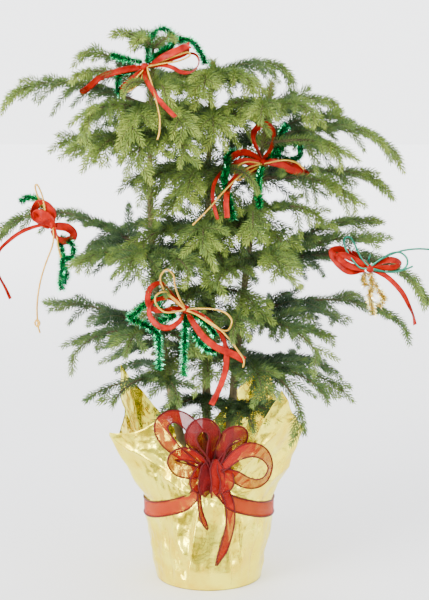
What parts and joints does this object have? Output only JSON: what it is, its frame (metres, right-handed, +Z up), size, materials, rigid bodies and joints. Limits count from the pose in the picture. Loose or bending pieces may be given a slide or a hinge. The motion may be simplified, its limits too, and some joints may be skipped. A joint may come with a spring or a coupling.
{
  "type": "norfolk island pine in a gift-wrapped pot",
  "caption": "Potted Norfolk Island pine with slim leaning stems and whorls of drooping, needle-clad boughs, its pot wrapped in gold foil with flared corners and tied with a ribbon bow",
  "frame": {"origin": "centre of the flat underside of the wrapped pot, where it stands", "axes": "+Z up along the pot, -Y to the front where the bow is, +X to the right seen from the front"},
  "size_m": [0.5287, 0.348, 0.6759],
  "materials": {
    "foil": "crinkled metallised gold film, bright and glossy",
    "pot_plastic": "dark moulded nursery pot, satin",
    "potting_mix": "crumbly moist peat and bark mix",
    "ribbon": "sheer red organza with darker woven edges",
    "bark": "thin olive to brown bark with leaf scars",
    "needles": "soft awl-shaped needles, pale green at the tips"
  },
  "bodies": {
    "root": {"bough_left_3a": "bark", "bough_left_5a": "bark", "bough_right_2b": "bark", "bough_right_6a": "bark", "foil_wrap": "foil", "foliage_centre_1a": "needles", "foliage_centre_1b": "needles", "foliage_centre_1c": "needles", "foliage_centre_2a": "needles", "foliage_centre_2b": "needles", "foliage_centre_3a": "needles", "foliage_centre_3b": "needles", "foliage_centre_4a": "needles", "foliage_centre_4b": "needles", "foliage_centre_5a": "needles", "foliage_centre_6a": "needles", "foliage_centre_6b": "needles", "foliage_centre_7a": "needles", "foliage_left_1a": "needles", "foliage_left_2a": "needles", "foliage_left_2b": "needles", "foliage_left_2c": "needles", "foliage_left_3a": "needles", "foliage_left_3b": "needles", "foliage_left_3c": "needles", "foliage_left_4a": "needles", "foliage_left_4b": "needles", "foliage_left_5a": "needles", "foliage_left_5b": "needles", "foliage_left_5c": "needles", "foliage_left_6a": "needles", "foliage_left_6b": "needles", "foliage_left_7a": "needles", "foliage_left_7b": "needles", "foliage_right_1a": "needles", "foliage_right_1b": "needles", "foliage_right_1c": "needles", "foliage_right_2a": "needles", "foliage_right_2b": "needles", "foliage_right_2c": "needles", "foliage_right_2d": "needles", "foliage_right_3a": "needles", "foliage_right_3b": "needles", "foliage_right_4a": "needles", "foliage_right_5a": "needles", "foliage_right_5b": "needles", "foliage_right_5c": "needles", "foliage_right_6a": "needles", "foliage_right_6b": "needles", "foliage_right_6c": "needles", "foliage_right_7a": "needles", "foliage_right_7b": "needles", "foliage_right_8a": "needles", "pot": "pot_plastic", "ribbon_band": "ribbon", "ribbon_bow": "ribbon", "soil": "potting_mix", "stem_centre": "bark", "stem_left": "bark", "stem_right": "bark"}
  },
  "joints": []
}
